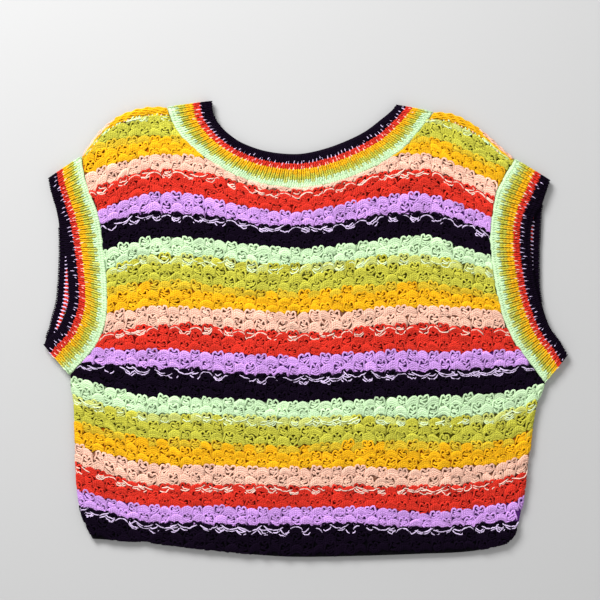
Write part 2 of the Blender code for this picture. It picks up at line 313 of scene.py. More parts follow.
def shell(outside, inside, keep=None, ring=False):
    """Points and four-sided faces of the closed wall between two grids of points."""
    rows, columns = outside.shape[:2]
    index = np.arange(rows * columns).reshape(rows, columns)
    if ring:
        index = np.vstack([index, index[:1]])
    faces = np.stack([index[:-1, :-1], index[:-1, 1:], index[1:, 1:], index[1:, :-1]], axis=-1)
    faces = faces.reshape(-1, 4) if keep is None else faces[keep]
    edges = np.concatenate([faces[:, [i, (i + 1) % 4]] for i in range(4)])
    code = edges.min(1) * rows * columns + edges.max(1)
    unique, first, count = np.unique(code, return_index=True, return_counts=True)
    rim = edges[first[count == 1]]
    shift = rows * columns
    rim_faces = np.column_stack([rim[:, 1], rim[:, 0], rim[:, 0] + shift, rim[:, 1] + shift])
    points = np.concatenate([outside.reshape(-1, 3), inside.reshape(-1, 3)])
    return points, np.concatenate([faces, faces[:, ::-1] + shift, rim_faces])


def set_out(name, mesh):
    """A smooth piece of this mesh that rides on the vest."""
    mesh.shade_smooth()
    piece = bpy.data.objects.new(name, mesh)
    bpy.context.scene.collection.objects.link(piece)
    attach(piece, "root")
    return piece


def new_ground(name, points, faces, key, numbers, material):
    """A ground's piece. Its material reads the number of each point by this key."""
    used, faces = np.unique(faces, return_inverse=True)
    mesh = bpy.data.meshes.new(name)
    mesh.from_pydata(points[used].tolist(), [], faces.reshape(-1, 4).tolist())
    attribute = mesh.attributes.new(key, "FLOAT", "POINT")
    attribute.data.foreach_set("value", numbers[used].astype(np.float32))
    work = bmesh.new()
    work.from_mesh(mesh)
    bmesh.ops.recalc_face_normals(work, faces=work.faces)
    work.to_mesh(mesh)
    work.free()
    mesh.materials.append(material)
    return set_out(name, mesh)


# The stripes from the shoulders down. level is the height of a stripe's top edge at the chest; it
# lies lower by dip in the middle, by left and right towards the armholes, by corner at the right
# edge and by sag in the middle of the right half
Stripe = namedtuple("Stripe", "yarn rows level dip left right corner sag")
STRIPES = [
    Stripe("olive", 3, 223, 0, 2, 23, 0, 0),
    Stripe("amber", 3, 200, 4, 4, 24, 0, 0),
    Stripe("peach", 2, 181, 12, 10, 24, 0, 0),
    Stripe("red", 3, 165, 22, 11, 24, 0, 0),
    Stripe("lilac", 2, 141, 19.5, 12, 23, 0, 0),
    Stripe("black", 3, 121, 15, 8, 19, 0, 0),
    Stripe("mint", 2, 95, 11, 10, 18, 0, 0),
    Stripe("olive", 3, 76, 9, 11, 12, 0, 0),
    Stripe("amber", 3, 49, 11, 7, 12, 0, 0),
    Stripe("peach", 2, 23, 6, 5, 4, 0, 0),
    Stripe("red", 3, 4, 8, 7, 3, 0, 0),
    Stripe("lilac", 2, -23, 5, -2, 0, 0, 0),
    Stripe("black", 3, -41, 8, -2.5, 0, -4, 3),
    Stripe("mint", 2, -70, 6.5, -7.5, -2, -7, 1),
    Stripe("olive", 3, -89, 3, -8, -2, -9, 4),
    Stripe("amber", 3, -115, 7, -8, 3, -19, 2),
    Stripe("peach", 2, -141, 4, -8.5, 0, -15, 5),
    Stripe("red", 3, -162, 2, -9, -4, -10, 3),
    Stripe("lilac", 2, -185, 1, -7.5, -2, -9, 5.5),
    Stripe("black", 3, -202, 2, -8, 0, -4, 4),
    Stripe("black", 1, -230, 5, -9, 0, 0, 0),
]
ROW_STARTS = np.cumsum([0] + [stripe.rows for stripe in STRIPES[:-1]])
ROW_COUNT = int(ROW_STARTS[-1])


# Where the stripes fall, in millimetres across the chest: dip and sag round a middle, and the others
# from a start outwards on their side. The wavers are small waves that every stripe has
Hump = namedtuple("Hump", "middle width")
Fall = namedtuple("Fall", "side start reach power")
Waver = namedtuple("Waver", "size length shift")
DIP = Hump(-14, 260)
SAG = Hump(125, 180)
LEFT = Fall(-1, 162, 36, 1.15)
RIGHT = Fall(1, 124, 63, 1.3)
CORNER = Fall(1, 187, 52, 2)
WAVERS = [Waver(0.7, 31, 1.7), Waver(0.5, 13, 2.9)]


def hump(x, place):
    return np.cos(math.pi * ((x - place.middle) / place.width).clip(-0.5, 0.5)) ** 2


def fall(x, place):
    return ((place.side * x - place.start).clip(0) / place.reach) ** place.power


def edge_heights(x):
    """The height of each stripe's top edge at x, in metres: one row for each stripe."""
    x = np.asarray(x, float) / MM
    shares = [hump(x, DIP), fall(x, LEFT), fall(x, RIGHT), fall(x, CORNER), hump(x, SAG)]
    heights = []
    for number, stripe in enumerate(STRIPES):
        waver = sum(wave.size * np.sin(x / wave.length + wave.shift * number) for wave in WAVERS)
        drop = sum(size * share for size, share in zip(stripe[3:], shares))
        heights.append((stripe.level - drop + waver) * MM)
    return np.array(heights)


def row_height(row, x):
    """The height of a row of stitches at x. Row 0 is at the shoulders and whole numbers are edges."""
    row, x = np.broadcast_arrays(row, x)
    heights = edge_heights(x)
    stripe = (np.searchsorted(ROW_STARTS, row, side="right") - 1).clip(0, len(STRIPES) - 2)
    share = (row - ROW_STARTS[stripe]) / np.diff(ROW_STARTS)[stripe]
    upper = np.take_along_axis(heights, stripe[None], 0)[0]
    lower = np.take_along_axis(heights, stripe[None] + 1, 0)[0]
    return (1 - share) * upper + share * lower


def row_at(x, y):
    """The row of stitches that a point lies in, the other way round."""
    heights = edge_heights(x)
    stripe = ((heights > y).sum(0) - 1).clip(0, len(STRIPES) - 2)
    upper = np.take_along_axis(heights, stripe[None], 0)[0]
    lower = np.take_along_axis(heights, stripe[None] + 1, 0)[0]
    return ROW_STARTS[stripe] + np.diff(ROW_STARTS)[stripe] * (upper - y) / (upper - lower)


# Colours of the yarns: the first is the wool's own colour, the second a darker copy painted as shade in
# the grooves between its plies, and the third a darker copy painted as the shade that shows between its
# stitches.
# Lime and gold are where two colours run into each other, and the pale ones are lighter copies of mint,
# peach and lilac, a painted highlight on the thin threads that lie over the next colour
Yarn = namedtuple("Yarn", "lit deep gap")
YARNS = {
    "mint": Yarn((0.57, 0.77, 0.475), (0.40, 0.58, 0.32), (0.50, 0.70, 0.40)),
    "lime": Yarn((0.57, 0.60, 0.17), (0.32, 0.36, 0.07), (0.16, 0.17, 0.03)),
    "olive": Yarn((0.55, 0.53, 0.064), (0.24, 0.23, 0.008), (0.10, 0.09, 0.002)),
    "gold": Yarn((0.69, 0.49, 0.030), (0.38, 0.22, 0.004), (0.25, 0.10, 0.001)),
    "amber": Yarn((0.84, 0.46, 0.010), (0.52, 0.22, 0.002), (0.44, 0.11, 0.001)),
    "peach": Yarn((0.88, 0.56, 0.43), (0.50, 0.23, 0.16), (0.30, 0.12, 0.07)),
    "red": Yarn((0.69, 0.037, 0.020), (0.28, 0.005, 0.003), (0.18, 0.002, 0.001)),
    "lilac": Yarn((0.62, 0.34, 0.78), (0.28, 0.12, 0.38), (0.10, 0.02, 0.20)),
    "black": Yarn((0.0065, 0.003, 0.010), (0.0015, 0.0007, 0.003), (0.001, 0.0005, 0.002)),
    "pale_mint": Yarn((0.72, 0.84, 0.54), (0.46, 0.58, 0.32), (0.2, 0.2, 0.1)),
    "pale_peach": Yarn((0.91, 0.68, 0.58), (0.60, 0.36, 0.28), (0.3, 0.1, 0.1)),
    "pale_lilac": Yarn((0.72, 0.60, 0.84), (0.42, 0.30, 0.52), (0.1, 0.05, 0.2)),
}
# Threads of these colours are drawn in their lighter copies, a painted highlight
PAINTED_HIGHLIGHT_YARNS = {"mint": "pale_mint", "peach": "pale_peach", "lilac": "pale_lilac"}


def add_node(tree, kind, inputs=(), **settings):
    """A shader node with these settings. An input that is given a socket is linked, and others set."""
    node = tree.nodes.new("ShaderNode" + kind)
    for name, value in settings.items():
        setattr(node, name, value)
    for name, value in dict(inputs).items():
        if isinstance(value, bpy.types.NodeSocket):
            tree.links.new(value, node.inputs[name])
        else:
            node.inputs[name].default_value = value
    return node


def maths(tree, operation, *values):
    return add_node(tree, "Math", enumerate(values), operation=operation).outputs[0]


def fit(tree, value, low, high, new_low, new_high):
    """A value carried over from one range to another, and held within it."""
    inputs = {"Value": value, "From Min": low, "From Max": high, "To Min": new_low, "To Max": new_high}
    return add_node(tree, "MapRange", inputs).outputs[0]


def mix_colours(tree, share, first, second):
    inputs = {"Factor": share, 6: first, 7: second}
    return add_node(tree, "Mix", inputs, data_type="RGBA").outputs[2]


def shade_colour(tree, colour, brightness):
    inputs = {0: colour, "Scale": brightness}
    return add_node(tree, "VectorMath", inputs, operation="SCALE").outputs[0]


def noise(tree, scale, detail):
    place = add_node(tree, "TexCoord").outputs["Object"]
    inputs = {"Vector": place, "Scale": scale, "Detail": detail}
    return add_node(tree, "TexNoise", inputs).outputs["Fac"]


def new_group(name, inputs, outputs):
    """An empty group of shader nodes with these sockets, and its entry and its exit."""
    tree = bpy.data.node_groups.new(name, "ShaderNodeTree")
    for sockets, way in ((inputs, "INPUT"), (outputs, "OUTPUT")):
        for socket, kind in sockets.items():
            tree.interface.new_socket(socket, in_out=way, socket_type="NodeSocket" + kind)
    return tree, tree.nodes.new("NodeGroupInput").outputs, tree.nodes.new("NodeGroupOutput").inputs


def colour_steps(tree, share, steps):
    """Colours that change at once where a share reaches each step's start, and their darker copies
    painted as the shade between stitches.
    """
    ramps = []
    for tone in ("lit", "gap"):
        ramp = add_node(tree, "ValToRGB", {"Fac": share})
        ramp.color_ramp.interpolation = "CONSTANT"
        stops = ramp.color_ramp.elements
        stops.remove(stops[1])
        stops[0].color = (*getattr(YARNS[steps[0][1]], tone), 1)
        for start, yarn in steps[1:]:
            stops.new(start).color = (*getattr(YARNS[yarn], tone), 1)
        ramps.append(ramp.outputs["Color"])
    return ramps


# A ground's colours are mixed, by the first share, towards their darker copies painted as the shade
# between stitches, and darkened all over by the second
GROUND_INPUTS = {"Hollow": "Float", "Deepen": "Float"}
GROUND_OUTPUTS = {"Color": "Color", "Height": "Float"}
# The range of a ground's height, and the brightness at its two ends
Shading = namedtuple("Shading", "low high dark light")
# Painted shade: a stripe ground is darker in the hollows between its puffs and lighter on their tops
STRIPE_SHADING = Shading(-1, 2, 0.55, 1.1)
GROUND_FIBRES = 420
GROUND_DETAIL = 3


def end_ground(tree, entry, leave, share, steps, height, shading):
    """Sends out the colours of the steps, mixed towards their painted gap shade and darkened as asked,
    with painted shade where the wool lies lower, and the height of the wool.
    """
    colour = mix_colours(tree, entry["Hollow"], *colour_steps(tree, share, steps))
    shade = maths(tree, "MULTIPLY", fit(tree, height, *shading), entry["Deepen"])
    tree.links.new(shade_colour(tree, colour, shade), leave["Color"])
    tree.links.new(height, leave["Height"])


def stripe_group():
    """Gives the stripes' colour, painted darker in the hollows between the puffed stitches and lighter
    on their tops as shade, and the height of the puffs, from the row and the place.
    """
    tree, entry, leave = new_group("Knit stripes", GROUND_INPUTS, GROUND_OUTPUTS)
    row = add_node(tree, "Attribute", attribute_name="row").outputs["Fac"]
    place = add_node(tree, "TexCoord").outputs["Object"]
    x = add_node(tree, "SeparateXYZ", {"Vector": place}).outputs["X"]
    along = maths(tree, "SINE", maths(tree, "MULTIPLY", row, math.pi))
    across = maths(tree, "SINE", maths(tree, "MULTIPLY", x, math.pi / CELL_WIDTH))
    puffs = maths(tree, "MULTIPLY", along, across)
    height = maths(tree, "ADD", puffs, noise(tree, GROUND_FIBRES, GROUND_DETAIL))
    share = maths(tree, "DIVIDE", row, ROW_COUNT)
    steps = [(start / ROW_COUNT, stripe.yarn) for start, stripe in zip(ROW_STARTS, STRIPES[:-1])]
    end_ground(tree, entry, leave, share, steps, height, STRIPE_SHADING)


WOOL_ROUGHNESS = 0.9
WOOL_SHEEN = 0.03
SHEEN_ROUGHNESS = 0.6


def knit_material(name, group, values, relief, strength=1.0, sheen=WOOL_SHEEN):
    """Matt wool, with the colours and the relief that a group gives for these values."""
    material = bpy.data.materials.new(name)
    material.use_nodes = True
    tree = material.node_tree
    shader = tree.nodes["Principled BSDF"]
    shader.inputs["Roughness"].default_value = WOOL_ROUGHNESS
    shader.inputs["Specular IOR Level"].default_value = sheen
    shader.inputs["Sheen Weight"].default_value = sheen
    shader.inputs["Sheen Roughness"].default_value = SHEEN_ROUGHNESS
    inner = tree.nodes.new("ShaderNodeGroup")
    inner.node_tree = bpy.data.node_groups[group]
    for key, value in values.items():
        inner.inputs[key].default_value = value
    inputs = {"Height": inner.outputs["Height"], "Strength": strength, "Distance": relief}
    bump = add_node(tree, "Bump", inputs)
    tree.links.new(bump.outputs["Normal"], shader.inputs["Normal"])
    tree.links.new(inner.outputs["Color"], shader.inputs["Base Color"])
    if "Roughness" in inner.outputs:
        tree.links.new(inner.outputs["Roughness"], shader.inputs["Roughness"])
    return material


CELL_WIDTH = 11.25 * MM
# How many rows above its top edge a stripe's colour begins in the ground, under its raised stitches
COLOUR_LEAD = 0.15
FRONT_RELIEF = 0.6 * MM
stripe_group()

front_plan, front_across, front_up = panel_plan(wrap_distance(SEAM_GAP))
bend = WAVE_BEND * np.sin(2 * math.pi * front_plan[..., 1] / WAVE_ALONG)
waves = 0.5 + 0.5 * np.sin(2 * math.pi * (front_plan[..., 0] / WAVE_ACROSS + bend))
fade = np.sqrt(np.outer(np.sin(math.pi * front_up), np.sin(math.pi * front_across)).clip(0))
front_outside, front_inside = panel_walls(front_plan, TOP, WAVE_LIFT * fade * waves)
front_outside[..., 2] -= GROUND_SINK
hem_share = (1 - np.linspace(0, 1, SIDE_CELLS) * HEM_PARTS).clip(0) ** 2
front_outside[:SIDE_CELLS, ROLL_CELLS + 1:-ROLL_CELLS - 1, 2] -= HEM_DROP * hem_share[:, None]
front_points, front_faces = shell(front_outside, front_inside)
# The front ground is coloured wholly in the darker copies: painted shade, where it shows between the
# stitches
front_ground = new_ground(
    "front_ground", front_points, front_faces,
    "row", row_at(front_points[:, 0], front_points[:, 1]) + COLOUR_LEAD,
    knit_material("striped ground", "Knit stripes", {"Hollow": 1.0, "Deepen": 1.0}, FRONT_RELIEF),
)
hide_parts("front_panel")


# Stitches of the front: thick wool yarn drawn up into puffs. Smooth lobes of four strands take
# turns, across and down, with bumps that have two small loops for ears and dark eyes below them.
# Each row's top edge stands proud of the row above, so that every change of colour is scalloped.

ROW_DEPTH = 9.1
LOBE_POINTS = 7
LOBE_HALF_WIDTH = 7.0
LOBE_RADIUS = 1.55
LOBE_FLATNESS = 0.62
LOBE_END_LIFT = 0.62
LOBE_JITTER = 0.2
EAR_RADIUS = 1.12
EAR_JITTER = 0.25
FACE_RADIUS = 1.1
FACE_FLATNESS = 0.75
FACE_JITTER = 0.42
FACE_TILT = 0.24
PLY_PITCH = 2.6 * MM
TIP_SHARE = 0.6

# How far across and up from the middle of its cell, and how high, a strand runs: its left half
Bend = namedtuple("Bend", "across up lift")
Lobe = namedtuple("Lobe", "crest sag lift")
LOBES = [Lobe(4.2, 5.0, 2.2), Lobe(2.4, 4.8, 2.05), Lobe(0.6, 4.6, 1.75), Lobe(-1.2, 4.2, 1.3)]
EARS = [Bend(-7.0, -5.0, 0.4), Bend(-6.2, -1.6, 1.1), Bend(-5.2, 1.6, 1.6), Bend(-4.8, 4.2, 1.9),
        Bend(-3.9, 5.7, 2.2), Bend(-2.5, 5.9, 2.3), Bend(-1.4, 5.1, 2.2), Bend(-1.0, 4.1, 2.0),
        Bend(0, 3.4, 1.7)]
# The strands below the ears: two across, a round one and one that points down
FACE = [
    [Bend(-3.3, 2.5, 1.5), Bend(-1.8, 1.9, 1.8), Bend(0, 1.6, 1.9)],
    [Bend(-3.9, 1.4, 1.3), Bend(-2.2, 0.1, 1.8), Bend(0, -0.1, 1.9)],
    [Bend(-4.6, 0.4, 1.0), Bend(-3.4, -1.2, 1.6), Bend(-1.7, -1.7, 1.8), Bend(0, -3.0, 1.7)],
    [Bend(-5.4, -0.6, 0.9), Bend(-3.8, -2.9, 1.4), Bend(-2.0, -3.8, 1.5), Bend(0, -4.6, 1.3)],
]

HEIGHT_PITCH = 2.0 * MM
HEIGHT_MARGIN = 8
FALL_OUTSIDE = 1.5 * MM
DOWN = Vector((0, 0, -1))


class Heights:
    """The top of a shell, read at any place, and going on down from its edge beyond it."""

    def __init__(self, points, faces):
        tree = BVHTree.FromPolygons(points.tolist(), faces.tolist())
        self.low = points[:, :2].min(0) - HEIGHT_MARGIN * HEIGHT_PITCH
        high = points[:, :2].max(0) + HEIGHT_MARGIN * HEIGHT_PITCH
        counts = np.ceil((high - self.low) / HEIGHT_PITCH).astype(int) + 1
        self.grid = np.full(counts, np.nan)
        for i, j in np.ndindex(*counts):
            above = Vector((self.low[0] + i * HEIGHT_PITCH, self.low[1] + j * HEIGHT_PITCH, 1))
            hit = tree.ray_cast(above, DOWN)[0]
            if hit is not None:
                self.grid[i, j] = hit.z
        while np.isnan(self.grid).any():
            total = np.zeros_like(self.grid)
            count = np.zeros_like(self.grid)
            for axis in (0, 1):
                for step in (-1, 1):
                    beside = np.roll(self.grid, step, axis)
                    known = np.isfinite(beside)
                    total[known] += beside[known]
                    count[known] += 1
            new = np.isnan(self.grid) & (count > 0)
            self.grid[new] = total[new] / count[new] - FALL_OUTSIDE

    def top(self, x, y):
        grid = self.grid
        i = ((x - self.low[0]) / HEIGHT_PITCH).clip(0, grid.shape[0] - 1.001)
        j = ((y - self.low[1]) / HEIGHT_PITCH).clip(0, grid.shape[1] - 1.001)
        i0 = i.astype(int)
        j0 = j.astype(int)
        i -= i0
        j -= j0
        return (
            grid[i0, j0] * (1 - i) * (1 - j) + grid[i0 + 1, j0] * i * (1 - j)
            + grid[i0, j0 + 1] * (1 - i) * j + grid[i0 + 1, j0 + 1] * i * j
        )


STRAND_TURNS = (-20, 35, 90, 145, 200)


class Strands:
    """Strands of yarn as closed tubes, round above and flat below, made into one mesh."""

    def __init__(self):
        self.points = []
        self.quads = []
        self.caps = []
        self.shades = []
        self.quad_ways = []
        self.count = 0

    def add(self, paths, radius, shade, flatness=1.0):
        """paths is an array of strands by points by 3; shade is a brightness for each strand.

        flatness is a strand's height for its width.
        """
        strands, length = paths.shape[:2]
        if strands == 0:
            return
        way = unit(np.gradient(paths, axis=1))
        aside = unit(np.cross((0, 0, 1), way))
        above = np.cross(way, aside)
        turns = np.radians(STRAND_TURNS)
        sides = len(turns)
        ring = (
            np.cos(turns)[:, None] * aside[:, :, None]
            + flatness * np.sin(turns)[:, None] * above[:, :, None]
        )
        radius = np.broadcast_to(radius, (strands, length)).copy()
        radius[:, [0, -1]] *= TIP_SHARE
        points = paths[:, :, None] + radius[..., None, None] * ring
        index = self.count + np.arange(strands * length * sides).reshape(strands, length, sides)
        beside = np.roll(index, -1, axis=2)
        quads = np.stack([index[:, :-1], beside[:, :-1], beside[:, 1:], index[:, 1:]], axis=-1)
        steps = np.linalg.norm(np.diff(paths, axis=1), axis=2)
        along = np.concatenate([np.zeros((strands, 1)), np.cumsum(steps, axis=1)], axis=1) / PLY_PITCH
        u = np.broadcast_to(along[:, :, None], (strands, length, sides))
        v = np.broadcast_to(np.arange(sides) / sides, (strands, length, sides))
        u_corners = np.stack([u[:, :-1], u[:, :-1], u[:, 1:], u[:, 1:]], axis=-1)
        v_corners = np.stack([v[:, :-1], v[:, :-1] + 1 / sides, v[:, 1:] + 1 / sides, v[:, 1:]], axis=-1)
        self.points.append(points.reshape(-1, 3))
        self.quads.append(quads.reshape(-1, 4))
        self.caps.append(index[:, 0, ::-1])
        self.caps.append(index[:, -1])
        self.shades.append(np.repeat(shade, length * sides))
        self.quad_ways.append(np.stack([u_corners, v_corners], axis=-1).reshape(-1, 2))
        self.count += strands * length * sides

    def make(self, name, material, slot):
        """One mesh piece of all these strands."""
        points = np.concatenate(self.points)
        quads = np.concatenate(self.quads)
        caps = np.concatenate(self.caps)
        sides = caps.shape[1]
        mesh = bpy.data.meshes.new(name)
        mesh.vertices.add(len(points))
        mesh.vertices.foreach_set("co", points.astype(np.float32).ravel())
        corners = np.concatenate([quads.ravel(), caps.ravel()])
        mesh.loops.add(len(corners))
        mesh.loops.foreach_set("vertex_index", corners.astype(np.int32))
        sizes = np.concatenate([np.full(len(quads), 4), np.full(len(caps), sides)])
        starts = np.concatenate([[0], np.cumsum(sizes)[:-1]])
        mesh.polygons.add(len(sizes))
        mesh.polygons.foreach_set("loop_start", starts.astype(np.int32))
        mesh.update(calc_edges=True)
        mesh.validate()
        ways = np.concatenate(self.quad_ways + [np.zeros((caps.size, 2))])
        layer = mesh.uv_layers.new(name="yarn_way")
        layer.data.foreach_set("uv", ways.astype(np.float32).ravel())
        attribute = mesh.attributes.new("shade", "FLOAT", "POINT")
        attribute.data.foreach_set("value", np.concatenate(self.shades).astype(np.float32))
        mesh.materials.append(material)
        return set_out(name, mesh)


YARN_INPUTS = {"Lit": "Color", "Deep": "Color", "Ply depth": "Float"}
YARN_OUTPUTS = {"Color": "Color", "Roughness": "Float", "Height": "Float"}
PLY_TURNS = 2
PLY_DEPTH = 0.5
PLY_RELIEF = 0.3 * MM
PLY_STRENGTH = 0.6
FIBRES = 900
MOTTLES = 70
YARN_DETAIL = 2
LIT_RANGE = (-0.5, 0.9)
MOTTLE_SHADING = Shading(0.3, 0.7, 0.92, 1.06)
FIBRE_ROUGHNESS = (0.78, 0.98)
BLACK_SHEEN = 0.006


def yarn_group():
    """Gives a plied wool yarn's colour, roughness and height along a strand. The colour is painted
    darker, as shade, where the ply and fibre height is low.
    """
    tree, entry, leave = new_group("Plied wool", YARN_INPUTS, YARN_OUTPUTS)
    way = add_node(tree, "UVMap", uv_map="yarn_way").outputs["UV"]
    split = add_node(tree, "SeparateXYZ", {"Vector": way}).outputs
    twist = maths(tree, "MULTIPLY_ADD", split["Y"], PLY_TURNS, split["X"])
    ply = maths(tree, "SINE", maths(tree, "MULTIPLY", twist, 2 * math.pi))
    fibre = noise(tree, FIBRES, YARN_DETAIL)
    height = maths(tree, "ADD", maths(tree, "MULTIPLY", ply, entry["Ply depth"]), fibre)
    # Painted shade: the lower the height, the more of the yarn's darker copy
    lit = fit(tree, height, *LIT_RANGE, 0, 1)
    colour = mix_colours(tree, lit, entry["Deep"], entry["Lit"])
    shade = add_node(tree, "Attribute", attribute_name="shade").outputs["Fac"]
    tone = fit(tree, noise(tree, MOTTLES, YARN_DETAIL), *MOTTLE_SHADING)
    colour = shade_colour(tree, colour, maths(tree, "MULTIPLY", shade, tone))
    roughness = fit(tree, fibre, 0, 1, *FIBRE_ROUGHNESS)
    for name, value in (("Color", colour), ("Roughness", roughness), ("Height", height)):
        tree.links.new(value, leave[name])


yarn_group()
wool = {}
for name, yarn in YARNS.items():
    values = {"Lit": (*yarn.lit, 1), "Deep": (*yarn.deep, 1), "Ply depth": PLY_DEPTH}
    sheen = BLACK_SHEEN if name == "black" else WOOL_SHEEN
    wool[name] = knit_material(name + " wool", "Plied wool", values, PLY_RELIEF, PLY_STRENGTH, sheen)
chance = np.random.default_rng(11)
front_heights = Heights(front_points, front_faces)

EDGE_MARGIN = 0.8 * MM
EDGE_REACH = 11 * MM
TUCKED_SHARE = 0.12
edge_line = np.vstack([
    front_plan[0, :-1], front_plan[:-1, -1], front_plan[-1, :0:-1], front_plan[:0:-1, 0]
])
edge_step = np.roll(edge_line, -1, axis=0) - edge_line
edge_length = np.linalg.norm(edge_step, axis=1)
edge_way = unit(edge_step)
edge_in = np.column_stack([-edge_way[:, 1], edge_way[:, 0]])


def inside_edge(x, y):
    """How far inside the front's edge places lie, and the way in from the edge nearest to them."""
    offset = np.stack([x, y], axis=-1)[:, None] - edge_line
    along = (offset * edge_way).sum(-1).clip(0, edge_length)
    apart = offset - along[..., None] * edge_way
    distance = np.linalg.norm(apart, axis=-1)
    nearest = distance.argmin(1)
    apart = apart[np.arange(len(nearest)), nearest]
    way_in = edge_in[nearest]
    return distance.min(1) * np.sign((apart * way_in).sum(-1)), way_in


# The cells of the knit: every other one is a lobe, and the rest are eared bumps
ROW_SWAY = 1.6 * MM
ROWS_IN_SWAY = 7.0
ROW_JITTER = 0.9 * MM
CELL_JITTER = 0.7 * MM
COLUMN_REACH = 25
# How far outside the edge a cell's middle may lie, near the neck and at the sides
NECK_REACH = 150 * MM
BEYOND_NECK = -4.5 * MM
BEYOND_SIDE = -3.0 * MM
cell_row, cell_column = [
    grid.ravel() for grid in np.meshgrid(
        np.arange(ROW_COUNT), np.arange(-COLUMN_REACH, COLUMN_REACH + 1), indexing="ij"
    )
]
row_shift = ROW_SWAY * np.sin(np.arange(ROW_COUNT) / ROWS_IN_SWAY)
row_shift += chance.normal(0, ROW_JITTER, ROW_COUNT)
cell_x = cell_column * CELL_WIDTH + row_shift[cell_row] + chance.normal(0, CELL_JITTER, cell_row.size)
cell_y = row_height(cell_row + 0.5, cell_x)
cell_inside = inside_edge(cell_x, cell_y)[0]
held = cell_inside > np.where(np.abs(cell_x) < NECK_REACH, BEYOND_NECK, BEYOND_SIDE)
cell_inside = cell_inside[held]
cell_row = cell_row[held]
cell_column = cell_column[held]
cell_x = cell_x[held]
cell_stripe = np.searchsorted(ROW_STARTS, cell_row, side="right") - 1
is_lobe = (cell_row + cell_column) % 2 == 0
# How much the cells lean, differ in size and skew, and lie higher or further up than their place
cell_lean, cell_size, cell_skew, cell_raise, cell_up = [
    chance.normal(middle, spread, cell_row.size)
    for middle, spread in ((0, 0.13), (1, 0.07), (0, 0.16), (0, 0.14), (0, 0.4))
]


def on_front(cells, across, up, lift):
    """Strand points from places in their cells, in millimetres, laid on the front's ground."""
    across = across * cell_size[cells, None]
    up = up * cell_size[cells, None] + cell_lean[cells, None] * across + cell_up[cells, None]
    x = cell_x[cells, None] + across * MM
    row = cell_row[cells, None] + 0.5 - up / ROW_DEPTH
    y = row_height(row, x)
    near = np.broadcast_to(cell_inside[cells, None] < EDGE_REACH, x.shape)
    distance, way_in = inside_edge(x[near], y[near])
    tuck = (EDGE_MARGIN - distance).clip(0) * (1 - TUCKED_SHARE)
    x[near] += tuck * way_in[:, 0]
    y[near] += tuck * way_in[:, 1]
    z = front_heights.top(x, y) + (lift + cell_raise[cells, None]) * MM
    return np.stack([x, y, z], axis=-1)


def mirrored(bends):
    """The numbers of a strand's left half, with its right half added."""
    half = np.array(bends, float)
    return np.vstack([half, half[-2::-1] * (-1, 1, 1)])


def lobe_paths(cells, lobe):
    across = np.linspace(-1, 1, LOBE_POINTS)
    arch = 1 - across**2
    off_crest = across[None] + cell_skew[cells, None] * arch[None]
    up = lobe.crest - lobe.sag * off_crest**2
    up += chance.normal(0, LOBE_JITTER, (len(cells), LOBE_POINTS))
    lift = lobe.lift * (LOBE_END_LIFT + (1 - LOBE_END_LIFT) * arch)
    return on_front(cells, across[None] * LOBE_HALF_WIDTH, up, lift[None])


def bend_paths(cells, bends, jitter, side=0, tilt=0.0):
    """Strands on both sides of their cells, or only the half on this side (-1 or 1)."""
    numbers = np.array(bends, float) * (-side, 1, 1) if side else mirrored(bends)
    across = numbers[None, :, 0] + chance.normal(0, jitter, (len(cells), len(numbers)))
    up = numbers[None, :, 1] + chance.normal(0, jitter, (len(cells), len(numbers)))
    up += across * chance.normal(0, tilt, (len(cells), 1))
    return on_front(cells, across, up, numbers[None, :, 2])


SHADE_SPREAD = 0.11
SHADE_LIMITS = (0.75, 1.2)


def shades(count, spread=SHADE_SPREAD):
    return chance.normal(1, spread, count).clip(*SHADE_LIMITS)


front_yarns = {name: Strands() for name in YARNS}
# The share of the first row of a colour in which threads of the colour above still show, and where
# the two colours run into each other there
THREADED = {("peach", "red"): 0.85, ("lilac", "black"): 0.92, ("mint", "olive"): 0.5}
BLENDED = {("olive", "amber"): "gold", ("mint", "olive"): "lime"}
BLENDED_SHARE = 0.65
THREAD_RADIUS = 0.65
THREAD_SPREAD = 0.25
THREAD_JITTER = 0.35
# A thread runs over a lobe as an arch, or hangs below its crest from bump to bump
ARCH = [Bend(-6.8, -1.6, 1.6), Bend(-5.2, 1.0, 2.2), Bend(-2.7, 2.5, 2.7), Bend(0, 3.0, 2.9)]
HANGING = [Bend(-9.8, 3.6, 2.7), Bend(-7.0, 2.2, 2.5), Bend(-4.6, 0.9, 2.5), Bend(-2.3, 0.3, 2.9),
           Bend(0, 0.1, 3.0)]
LOWER = [Bend(-7.4, 0.6, 2.1), Bend(-3.6, -1.6, 2.3), Bend(0, -2.1, 2.6)]
HANGING_BELOW = 10
HANGING_SHARES = (0.25, 0.75)
LOWER_SHARE = 0.65
# The share of each strand of the first row's bumps that a thread of the colour above runs along
PALE_SHARES = (0.3, 0.5, 0.7, 0.7)
PALE_LIFT = 0.7 * MM

